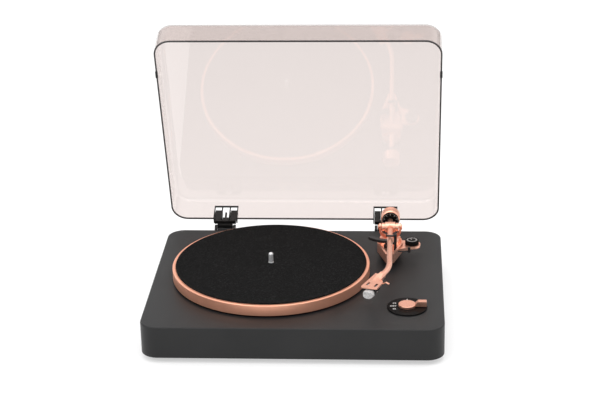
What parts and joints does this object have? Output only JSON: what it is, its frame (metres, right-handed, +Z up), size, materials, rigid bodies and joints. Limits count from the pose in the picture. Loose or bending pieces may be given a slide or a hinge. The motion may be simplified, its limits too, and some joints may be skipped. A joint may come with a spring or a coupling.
{
  "type": "turntable record player",
  "caption": "Record player with a black plinth, copper-rimmed platter with felt mat, bent copper tonearm, speed selector and a hinged smoked dust cover.",
  "frame": {"origin": "centre of the plinth's footprint on the table plane that the feet rest on", "axes": "+X to the player's right along the plinth's long side, +Y to the rear, +Z up along the record spindle"},
  "size_m": [0.439, 0.4182, 0.4169],
  "materials": {
    "plinth_black": "matt black lacquer on fibreboard",
    "cover_board": "black board",
    "steel": "zinc plated",
    "steel_plate": "zinc plated sheet",
    "rubber_black": "matt rubber",
    "copper": "satin rose-copper anodised",
    "felt": "pressed felt",
    "belt_ring_plastic": "moulded",
    "chrome": "polished",
    "brass": "turned",
    "motor_can": "pressed can",
    "board_green": "coated circuit board",
    "plastic_black": "moulded, satin",
    "gold_jack": "gold plated",
    "dial_black": "satin with pale marks",
    "stylus_plastic": "moulded",
    "clear_guard": "clear moulded plastic",
    "smoked_acrylic": "lightly smoked clear acrylic",
    "hinge_black": "moulded, semi-gloss"
  },
  "bodies": {
    "base": {"plinth": "plinth_black", "bottom_cover": "cover_board", "bottom_cover_screws": "steel", "feet": "rubber_black", "bearing_housing": "brass", "thrust_ball": "steel", "bearing_clamp": "steel_plate", "bearing_screws": "steel", "motor": "motor_can", "motor_bracket": "steel_plate", "motor_screws": "steel", "drive_belt": "rubber_black", "control_board": "board_green", "selector_switch": "plastic_black", "rear_panel": "plastic_black", "phono_jacks": "gold_jack", "dc_inlet": "plastic_black", "ground_post": "brass", "line_switch_body": "plastic_black", "selector_plate": "dial_black", "tonearm_base": "copper", "tonearm_pedestal": "plastic_black", "arm_rest": "plastic_black", "lift_cylinder": "plastic_black", "hinge_bracket_left": "hinge_black", "hinge_bracket_right": "hinge_black", "hinge_pins": "steel", "hinge_screws": "steel"},
    "platter_group": {"platter": "copper", "slipmat": "felt", "belt_ring": "belt_ring_plastic", "platter_shaft": "chrome"},
    "pulley": {"motor_pulley": "brass"},
    "yoke": {"arm_yoke": "copper", "pivot_screws": "copper"},
    "arm": {"bearing_hub": "copper", "rear_stub": "copper", "arm_tube": "copper", "headshell": "copper", "finger_lift": "copper", "cartridge": "plastic_black", "cartridge_screws": "steel", "stylus": "stylus_plastic"},
    "guard": {"stylus_guard": "clear_guard"},
    "sleeve": {"weight_sleeve": "plastic_black"},
    "weight": {"counterweight": "copper"},
    "weight_dial": {"force_dial": "dial_black"},
    "clip": {"rest_clip": "plastic_black"},
    "lift": {"cue_lift_arm": "plastic_black"},
    "lever": {"cue_lever": "plastic_black"},
    "skate_dial": {"anti_skate_dial": "dial_black"},
    "selector": {"selector_knob": "copper"},
    "cover": {"dust_cover": "smoked_acrylic", "cover_bumpers": "rubber_black", "hinge_socket_left": "hinge_black", "hinge_leaf_left": "hinge_black", "hinge_socket_right": "hinge_black", "hinge_leaf_right": "hinge_black"},
    "line_switch": {"line_switch_slider": "plastic_black"},
    "nut": {"ground_nut": "steel"}
  },
  "joints": [
    {"name": "platter_spin", "type": "hinge", "parent": "base", "child": "platter_group", "pos_m": [-0.041, 0.007, 0.0751], "axis": [0, 0, 1], "continuous": true},
    {"name": "pulley_spin", "type": "hinge", "parent": "base", "child": "pulley", "pos_m": [-0.108, 0.074, 0.06], "axis": [0, 0, 1], "continuous": true},
    {"name": "arm_swing", "type": "hinge", "parent": "base", "child": "yoke", "pos_m": [0.1392, 0.1044, 0.094], "axis": [0, 0, -1], "range_deg": [0, 42]},
    {"name": "arm_tilt", "type": "hinge", "parent": "yoke", "child": "arm", "pos_m": [0.1392, 0.1044, 0.094], "axis": [-1, 0, 0], "range_deg": [0, 1.1]},
    {"name": "guard_pull", "type": "slide", "parent": "arm", "child": "guard", "axis": [-0.4067, -0.9135, 0], "range_m": [0, 0.03]},
    {"name": "weight_travel", "type": "slide", "parent": "arm", "child": "sleeve", "axis": [0, 1, 0], "range_m": [-0.002, 0.004]},
    {"name": "weight_turn", "type": "hinge", "parent": "sleeve", "child": "weight", "pos_m": [0.1392, 0.1544, 0.087], "axis": [0, 1, 0], "range_deg": [-360, 720]},
    {"name": "dial_turn", "type": "hinge", "parent": "weight", "child": "weight_dial", "pos_m": [0.1392, 0.1484, 0.087], "axis": [0, 1, 0], "range_deg": [-180, 180]},
    {"name": "clip_swing", "type": "hinge", "parent": "base", "child": "clip", "pos_m": [0.1474, 0.0564, 0.1], "axis": [0, 0, -1], "range_deg": [0, 100]},
    {"name": "lift_travel", "type": "slide", "parent": "base", "child": "lift", "axis": [0, 0, 1], "range_m": [0, 0.0008]},
    {"name": "cue_lever_turn", "type": "hinge", "parent": "base", "child": "lever", "pos_m": [0.1452, 0.0484, 0.0773], "axis": [-1, 0, 0], "range_deg": [0, 60.01]},
    {"name": "anti_skate_turn", "type": "hinge", "parent": "base", "child": "skate_dial", "pos_m": [0.1731, 0.0743, 0.079], "axis": [0, 0, 1], "range_deg": [-270, 0]},
    {"name": "selector_turn", "type": "hinge", "parent": "base", "child": "selector", "pos_m": [0.1656, -0.1043, 0.058], "axis": [0, 0, 1], "range_deg": [-30, 30]},
    {"name": "cover_hinge", "type": "hinge", "parent": "base", "child": "cover", "pos_m": [0, 0.1936, 0.0495], "axis": [1, 0, 0], "range_deg": [0, 71.3]},
    {"name": "line_switch_slide", "type": "slide", "parent": "base", "child": "line_switch", "axis": [1, 0, 0], "range_m": [0, 0.006]},
    {"name": "ground_nut_turn", "type": "hinge", "parent": "base", "child": "nut", "pos_m": [-0.004, 0.1774, 0.03], "axis": [0, 1, 0], "range_deg": [0, 720]}
  ],
  "couplings": [
    {"joint": "pulley_spin", "follows": "platter_spin", "ratio": 9.75},
    {"joint": "weight_travel", "follows": "weight_turn", "m_per_rad": 0.0003183},
    {"joint": "lift_travel", "follows": "arm_tilt", "m_per_rad": 0.04},
    {"joint": "cue_lever_turn", "follows": "arm_tilt", "ratio": 54.5}
  ]
}
